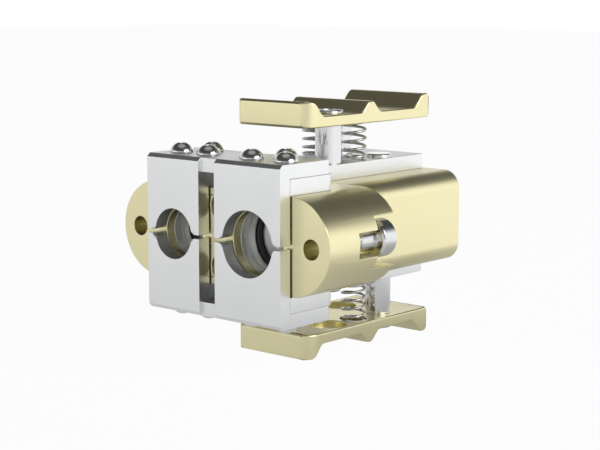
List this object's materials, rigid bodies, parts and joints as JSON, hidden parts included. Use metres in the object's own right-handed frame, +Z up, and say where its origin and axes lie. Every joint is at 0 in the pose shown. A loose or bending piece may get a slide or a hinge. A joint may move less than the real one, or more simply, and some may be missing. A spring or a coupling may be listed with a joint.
{
  "type": "twin-port quick connector",
  "caption": "Squeeze-grip quick connector for two liquid lines: split jaws open round a large and a small port when the sprung finger plates are pressed.",
  "frame": {"origin": "centre of the footprint, at the height of the lower finger plate's crests", "axes": "+Y runs from the ports to the rear threads, +Z up across the two finger plates, +X towards the large port"},
  "size_m": [0.075, 0.0784, 0.0702],
  "materials": {
    "gold_anodised": "pale gold anodised, satin",
    "blasted_aluminium": "bead blasted, clear anodised",
    "stainless": "fine turned",
    "screw_steel": "polished",
    "spring_steel": "drawn wire",
    "seal_rubber": "smooth, matt"
  },
  "bodies": {
    "housing": {"front_block": "gold_anodised", "rear_block": "gold_anodised", "large_sleeve": "stainless", "small_sleeve": "stainless", "large_seal": "seal_rubber", "small_seal": "seal_rubber", "large_seat": "stainless", "small_seat": "stainless", "large_joint_seal": "seal_rubber", "small_joint_seal": "seal_rubber", "block_screws": "screw_steel", "right_mount_screw": "screw_steel", "left_mount_screw": "screw_steel"},
    "upper_slide": {"upper_jaw": "blasted_aluminium", "upper_carriage": "blasted_aluminium", "upper_jaw_screws": "screw_steel", "upper_right_spring": "spring_steel", "upper_left_spring": "spring_steel", "lower_finger_plate": "gold_anodised", "lower_front_post": "screw_steel", "lower_rear_post": "screw_steel", "lower_plate_screws": "screw_steel"},
    "lower_slide": {"lower_jaw": "blasted_aluminium", "lower_carriage": "blasted_aluminium", "lower_jaw_screws": "screw_steel", "lower_right_spring": "spring_steel", "lower_left_spring": "spring_steel", "upper_finger_plate": "gold_anodised", "upper_front_post": "screw_steel", "upper_rear_post": "screw_steel", "upper_plate_screws": "screw_steel"}
  },
  "joints": [
    {"name": "upper_travel", "type": "slide", "parent": "housing", "child": "upper_slide", "axis": [0, 0, 1], "range_m": [0, 0.0035], "stiffness_N_per_m": 15000, "springref_m": -0.0013, "deforming": ["upper_right_spring", "upper_left_spring"]},
    {"name": "lower_travel", "type": "slide", "parent": "housing", "child": "lower_slide", "axis": [0, 0, -1], "range_m": [0, 0.0035], "stiffness_N_per_m": 15000, "springref_m": -0.0013, "deforming": ["lower_right_spring", "lower_left_spring"]}
  ],
  "couplings": [
    {"joint": "lower_travel", "follows": "upper_travel", "ratio": 1}
  ]
}
